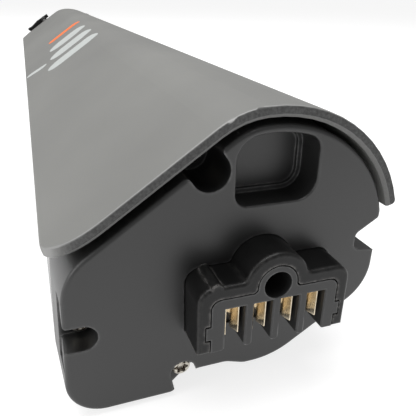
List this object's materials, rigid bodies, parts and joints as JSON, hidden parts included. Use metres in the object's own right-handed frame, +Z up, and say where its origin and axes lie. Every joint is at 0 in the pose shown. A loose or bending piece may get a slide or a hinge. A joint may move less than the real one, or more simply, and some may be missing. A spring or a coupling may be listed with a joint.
{
  "type": "battery pack",
  "caption": "Long bar-shaped battery pack with a painted arched cover, black end caps, an open-bottomed blade connector, a release lever and a power button.",
  "frame": {"origin": "on the axis of the connector's guide bore, in the plane of the front cap's face", "axes": "+Z up to the crest of the cover, +Y from the connector end along the pack to the release-lever end, +X to the right seen from the connector end"},
  "size_m": [0.0934, 0.5906, 0.0798],
  "materials": {
    "cover_paint": "satin grey paint with a fine grain",
    "cap_black": "satin moulded black",
    "case_black": "semi-gloss black",
    "hood_black": "moulded black, scuffed",
    "insert_grey": "moulded dark grey",
    "contact_gold": "gold-plated spring copper",
    "rubber_black": "moulded seal",
    "screw_nickel": "nickel-plated",
    "lever_black": "fine-textured black",
    "steel": "stainless",
    "light_guide": "translucent white",
    "foam": "closed-cell foam",
    "board_green": "solder mask",
    "component_black": "moulded packages",
    "fuse_orange": "blade fuse body",
    "aluminium": "finned bar",
    "holder_plastic": "flame-retardant moulding",
    "brass_post": "hexagonal posts",
    "nickel": "nickel strip",
    "cell_can": null,
    "lead_red": "silicone-sleeved lead",
    "lead_black": "silicone-sleeved lead"
  },
  "bodies": {
    "pack": {"bms_board": "board_green", "bms_carrier": "holder_plastic", "bms_components": "component_black", "bms_posts": "brass_post", "busbars_1": "nickel", "busbars_2": "nickel", "busbars_3": "nickel", "busbars_4": "nickel", "busbars_5": "nickel", "busbars_6": "nickel", "busbars_7": "nickel", "button_board": "board_green", "button_lead": "lead_black", "button_spring": "steel", "button_switch": "component_black", "case_shell": "case_black", "catch_lug": "steel", "cells_1": "cell_can", "cells_2": "cell_can", "cells_3": "cell_can", "cells_4": "cell_can", "cells_5": "cell_can", "cells_6": "cell_can", "connector_gasket": "rubber_black", "connector_hood": "hood_black", "connector_insert": "insert_grey", "connector_screws": "screw_nickel", "contact_data": "contact_gold", "contact_negative": "contact_gold", "contact_positive": "contact_gold", "contact_wake": "contact_gold", "cover_tapes": "foam", "front_cap": "cap_black", "front_cap_screws": "screw_nickel", "front_gasket": "rubber_black", "heat_spreader": "aluminium", "insulators": "foam", "lever_pin": "steel", "lever_spring": "steel", "light_ring": "light_guide", "main_fuse": "fuse_orange", "negative_lead": "lead_black", "outer_cover": "cover_paint", "positive_lead": "lead_red", "power_transistors": "component_black", "rear_cap": "cap_black", "rear_cap_screws": "screw_nickel", "rear_gasket": "rubber_black", "signal_leads": "lead_black", "stack_lead": "lead_red", "status_leds": "light_guide", "trays_1": "holder_plastic", "trays_2": "holder_plastic", "trays_3": "holder_plastic", "trays_4": "holder_plastic", "trays_5": "holder_plastic", "trays_6": "holder_plastic"},
    "lever": {"release_lever": "lever_black"},
    "button": {"power_button": "lever_black", "button_clip": "steel"}
  },
  "joints": [
    {"name": "lever_hinge", "type": "hinge", "parent": "pack", "child": "lever", "pos_m": [-0.02629, 0.5665, 0.02846], "axis": [0, 1, 0], "range_deg": [0, 35], "stiffness_Nm_per_rad": 0.04, "springref_deg": -28.65},
    {"name": "button_slide", "type": "slide", "parent": "pack", "child": "button", "axis": [0, -1, 0], "range_m": [0, 0.001], "stiffness_N_per_m": 600, "springref_m": -0.002}
  ]
}
